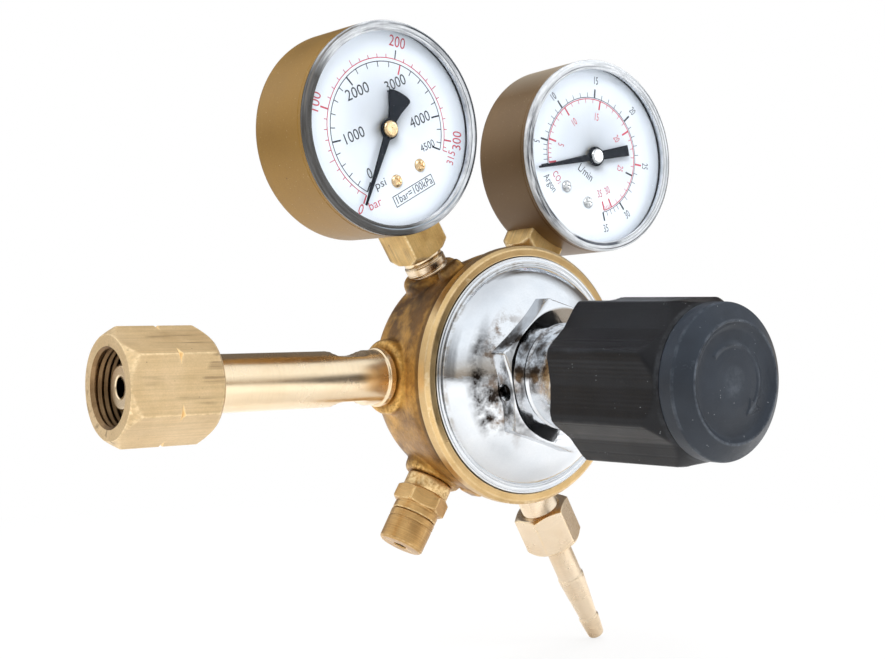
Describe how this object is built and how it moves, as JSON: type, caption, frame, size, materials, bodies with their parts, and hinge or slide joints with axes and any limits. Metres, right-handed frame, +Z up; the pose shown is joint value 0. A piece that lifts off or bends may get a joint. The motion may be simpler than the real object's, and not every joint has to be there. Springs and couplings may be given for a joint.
{
  "type": "gas cylinder pressure regulator",
  "caption": "Brass gas cylinder regulator with round body, chromed bonnet, lobed adjusting knob, contents and flow gauges, hexagon inlet nut, relief valve and barbed hose tail.",
  "frame": {"origin": "centre of the inlet nipple's sealing face, on the inlet axis and inside the nut's thread", "axes": "+X along the inlet stem towards the body, -Y towards the knob, +Z up towards the gauges"},
  "size_m": [0.1982, 0.1219, 0.1968],
  "materials": {
    "forged_brass": "rough forged, darkened",
    "turned_brass": "turned, satin",
    "relief_brass": "turned, browned",
    "screw_brass": "polished",
    "tube_bronze": "drawn",
    "plate_brass": "brushed",
    "sintered_bronze": "sintered",
    "chrome_plate": "bright plated",
    "spring_steel": "drawn wire",
    "zinc_steel": "zinc plated",
    "screw_nickel": "nickel plated",
    "aluminium": "turned",
    "diaphragm_rubber": "fabric reinforced",
    "seal_rubber": "matt",
    "knob_plastic": "satin, scuffed",
    "clear_lens": "clear plastic",
    "dial_face": "white enamel, printed",
    "pointer_black": "black enamel",
    "brown_brass_case": "drawn, lacquered brown",
    "dark_brass_case": "drawn, lacquered dark"
  },
  "bodies": {
    "body": {"regulator_body": "forged_brass", "bonnet": "chrome_plate", "slip_ring": "spring_steel", "diaphragm": "diaphragm_rubber", "range_spring": "spring_steel", "valve_nozzle": "turned_brass", "valve_spring": "spring_steel", "inlet_stem": "turned_brass", "inlet_filter": "sintered_bronze", "contents_case": "brown_brass_case", "contents_lens": "clear_lens", "contents_lens_seal": "seal_rubber", "contents_dial": "dial_face", "contents_dial_screws": "screw_brass", "contents_socket": "turned_brass", "contents_bourdon_tube": "tube_bronze", "contents_movement_frame": "plate_brass", "contents_hairspring": "spring_steel", "flow_case": "dark_brass_case", "flow_lens": "clear_lens", "flow_lens_seal": "seal_rubber", "flow_dial": "dial_face", "flow_dial_screws": "screw_nickel", "flow_socket": "turned_brass", "flow_bourdon_tube": "tube_bronze", "flow_movement_frame": "plate_brass", "flow_hairspring": "spring_steel", "relief_body": "relief_brass", "relief_cap": "relief_brass", "relief_spring": "spring_steel", "outlet_stud": "turned_brass", "hose_tail": "turned_brass"},
    "inlet_nut": {"inlet_nut": "turned_brass"},
    "spring_button": {"spring_button": "zinc_steel"},
    "knob": {"knob": "knob_plastic", "knob_cap": "knob_plastic", "adjusting_screw": "zinc_steel"},
    "diaphragm_plate": {"diaphragm_plate": "aluminium"},
    "valve_poppet": {"valve_poppet": "zinc_steel"},
    "relief_poppet": {"relief_poppet": "zinc_steel"},
    "outlet_nut": {"outlet_nut": "turned_brass"},
    "contents_sector": {"contents_sector_gear": "plate_brass"},
    "contents_pointer": {"contents_pinion_arbor": "plate_brass", "contents_pointer": "pointer_black", "contents_pointer_hub": "screw_brass"},
    "contents_link": {"contents_link": "plate_brass"},
    "flow_sector": {"flow_sector_gear": "plate_brass"},
    "flow_pointer": {"flow_pinion_arbor": "plate_brass", "flow_pointer": "pointer_black", "flow_pointer_hub": "screw_nickel"},
    "flow_link": {"flow_link": "plate_brass"}
  },
  "joints": [
    {"name": "inlet_nut_spin", "type": "hinge", "parent": "body", "child": "inlet_nut", "pos_m": [0.01, 0, 0], "axis": [1, 0, 0], "continuous": true},
    {"name": "button_slide", "type": "slide", "parent": "body", "child": "spring_button", "axis": [0, 1, 0], "range_m": [0, 0.012], "deforming": ["range_spring"]},
    {"name": "knob_turn", "type": "hinge", "parent": "spring_button", "child": "knob", "pos_m": [0.1243, -0.08, 0], "axis": [0, 1, 0], "range_deg": [0, 2160.1]},
    {"name": "plate_slide", "type": "slide", "parent": "body", "child": "diaphragm_plate", "axis": [0, 1, 0], "range_m": [0, 0.001], "stiffness_N_per_m": 800, "springref_m": -0.001, "deforming": ["diaphragm"]},
    {"name": "valve_lift", "type": "slide", "parent": "body", "child": "valve_poppet", "axis": [0, 1, 0], "range_m": [0, 0.001], "deforming": ["valve_spring"]},
    {"name": "relief_lift", "type": "slide", "parent": "body", "child": "relief_poppet", "axis": [-0.5299, 0, -0.848], "range_m": [0, 0.0015], "stiffness_N_per_m": 1500, "springref_m": -0.002, "deforming": ["relief_spring"]},
    {"name": "outlet_nut_spin", "type": "hinge", "parent": "body", "child": "outlet_nut", "pos_m": [0.1529, 0, -0.0516], "axis": [0.4848, 0, -0.8746], "continuous": true},
    {"name": "contents_sector_swing", "type": "hinge", "parent": "body", "child": "contents_sector", "pos_m": [0.0862, 0, 0.06121], "axis": [0, -1, 0], "range_deg": [0, 43.67], "stiffness_Nm_per_rad": 0.01, "springref_deg": -5.73, "deforming": ["contents_bourdon_tube", "contents_hairspring"]},
    {"name": "contents_pointer_turn", "type": "hinge", "parent": "body", "child": "contents_pointer", "pos_m": [0.0788, 0, 0.0731], "axis": [0, 1, 0], "range_deg": [0, 262.5]},
    {"name": "contents_link_pivot", "type": "hinge", "parent": "contents_sector", "child": "contents_link", "pos_m": [0.08699, 0, 0.05678], "axis": [0, -1, 0], "range_deg": [-44.17, 0]},
    {"name": "flow_sector_swing", "type": "hinge", "parent": "body", "child": "flow_sector", "pos_m": [0.1562, 0, 0.05778], "axis": [-0.0412, -0.9989, 0.0228], "range_deg": [0, 45], "stiffness_Nm_per_rad": 0.01, "springref_deg": -5.73, "deforming": ["flow_bourdon_tube", "flow_hairspring"]},
    {"name": "flow_pointer_turn", "type": "hinge", "parent": "body", "child": "flow_pointer", "pos_m": [0.16296, 0, 0.07004], "axis": [0.0412, 0.9989, -0.0228], "range_deg": [0, 270.5]},
    {"name": "flow_link_pivot", "type": "hinge", "parent": "flow_sector", "child": "flow_link", "pos_m": [0.15268, 0.00008, 0.05497], "axis": [-0.0412, -0.9989, 0.0228], "range_deg": [-45.5, 0]}
  ],
  "couplings": [
    {"joint": "knob_turn", "follows": "button_slide", "rad_per_m": 3141.6},
    {"joint": "valve_lift", "follows": "plate_slide", "ratio": 1},
    {"joint": "contents_pointer_turn", "follows": "contents_sector_swing", "ratio": 6},
    {"joint": "contents_link_pivot", "follows": "contents_sector_swing", "ratio": -1},
    {"joint": "flow_pointer_turn", "follows": "flow_sector_swing", "ratio": 6},
    {"joint": "flow_link_pivot", "follows": "flow_sector_swing", "ratio": -1}
  ]
}
